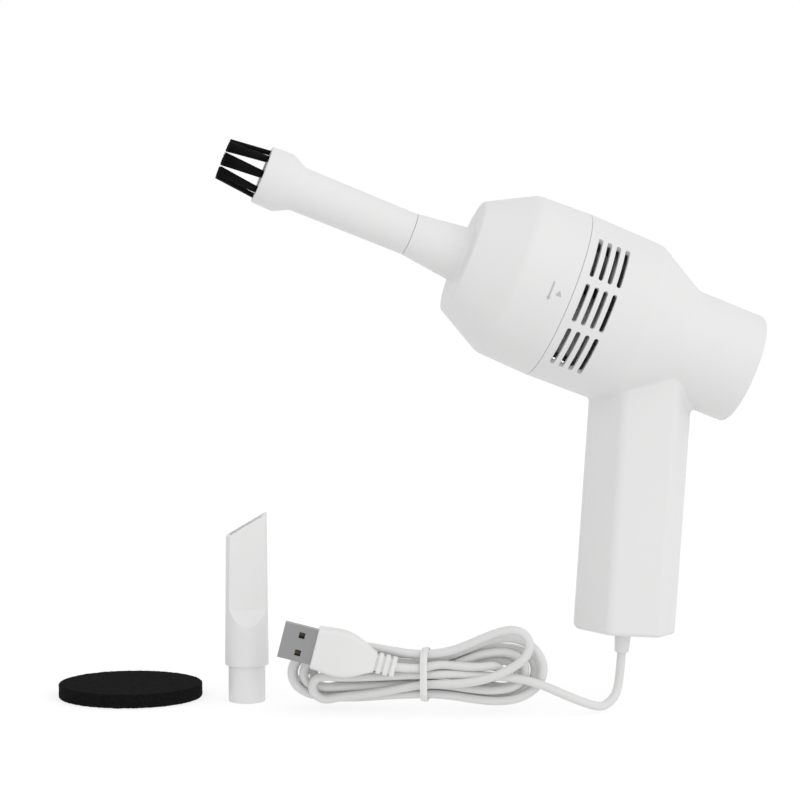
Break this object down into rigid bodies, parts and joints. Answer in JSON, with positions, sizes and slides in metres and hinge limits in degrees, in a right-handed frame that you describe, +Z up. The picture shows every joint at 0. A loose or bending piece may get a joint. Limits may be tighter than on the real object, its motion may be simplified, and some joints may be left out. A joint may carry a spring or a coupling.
{
  "type": "handheld mini vacuum cleaner",
  "caption": "Pistol-shaped handheld desk vacuum cleaner with brush nozzle, spare crevice nozzle, spare foam filter and a tied USB lead.",
  "frame": {"origin": "middle of the grip, on its own axis and on the plane between the housing halves", "axes": "+Z up, -X towards the nose, which points 22 degrees up; +Y to the side with the switch; XZ is the plane between the housing halves"},
  "size_m": [0.2389, 0.0938, 0.1928],
  "materials": {
    "white_shell": "satin moulded",
    "grey_inner": "moulded",
    "fan_plastic": "moulded",
    "black_foam": "open-cell foam",
    "bristle": "nylon bristles",
    "seal_rubber": "matt",
    "screw_steel": "zinc-plated",
    "can_steel": "drawn, plated",
    "core_steel": "laminated",
    "magnet": "sintered",
    "brass": "plain",
    "bronze": "sintered",
    "black_plastic": "moulded",
    "knob_plastic": "satin moulded",
    "white_jacket": "soft, satin",
    "lead_red": "satin",
    "lead_black": "satin",
    "plug_white": "satin moulded",
    "plug_steel": "nickel-plated",
    "contact_gold": "gold-plated",
    "tie_plastic": "smooth"
  },
  "bodies": {
    "housing": {"housing_near_half": "white_shell", "housing_far_half": "white_shell", "housing_screws": "screw_steel", "cup_seal": "seal_rubber", "filter_frame": "grey_inner", "filter_foam": "black_foam", "fan_inlet_plate": "grey_inner", "motor_plate": "grey_inner", "motor_can": "can_steel", "motor_screws": "screw_steel", "motor_end_cap": "black_plastic", "motor_terminals": "brass", "motor_bushes": "bronze", "motor_magnets": "magnet", "switch_body": "black_plastic", "strain_relief": "white_jacket", "cord_inside": "white_jacket", "cord_clamp": "grey_inner", "clamp_screws": "screw_steel", "lead_supply": "lead_red", "lead_switched": "lead_red", "lead_return": "lead_black", "cord_free": "white_jacket", "cord_hank": "white_jacket", "cable_tie": "tie_plastic", "plug_overmould": "plug_white", "plug_shell": "plug_steel", "plug_tongue": "black_plastic", "plug_contacts": "contact_gold"},
    "dust_cup": {"dust_cup": "white_shell"},
    "brush": {"brush_nozzle": "white_shell", "brush_tufts": "bristle"},
    "rotor": {"fan_impeller": "fan_plastic", "motor_armature": "core_steel", "motor_shaft": "screw_steel"},
    "switch": {"switch_knob": "knob_plastic"},
    "crevice_nozzle": {"crevice_nozzle": "white_shell"},
    "spare_foam": {"spare_foam": "black_foam"}
  },
  "joints": [
    {"name": "cup_twist", "type": "hinge", "parent": "housing", "child": "dust_cup", "pos_m": [-0.0253, 0, 0.0784], "axis": [0.9272, 0, -0.3746], "range_deg": [0, 25]},
    {"name": "brush_pull", "type": "slide", "parent": "dust_cup", "child": "brush", "axis": [-0.9272, 0, 0.3746], "range_m": [0, 0.015]},
    {"name": "rotor_spin", "type": "hinge", "parent": "housing", "child": "rotor", "pos_m": [-0.0253, 0, 0.0784], "axis": [0.9272, 0, -0.3746], "continuous": true},
    {"name": "switch_slide", "type": "slide", "parent": "housing", "child": "switch", "axis": [0.0645, 0, 0.9979], "range_m": [0, 0.004]},
    {"name": "crevice_lift", "type": "slide", "parent": "housing", "child": "crevice_nozzle", "axis": [0, 0, 1], "range_m": [0, 0.05]},
    {"name": "foam_lift", "type": "slide", "parent": "housing", "child": "spare_foam", "axis": [0, 0, 1], "range_m": [0, 0.05]}
  ]
}
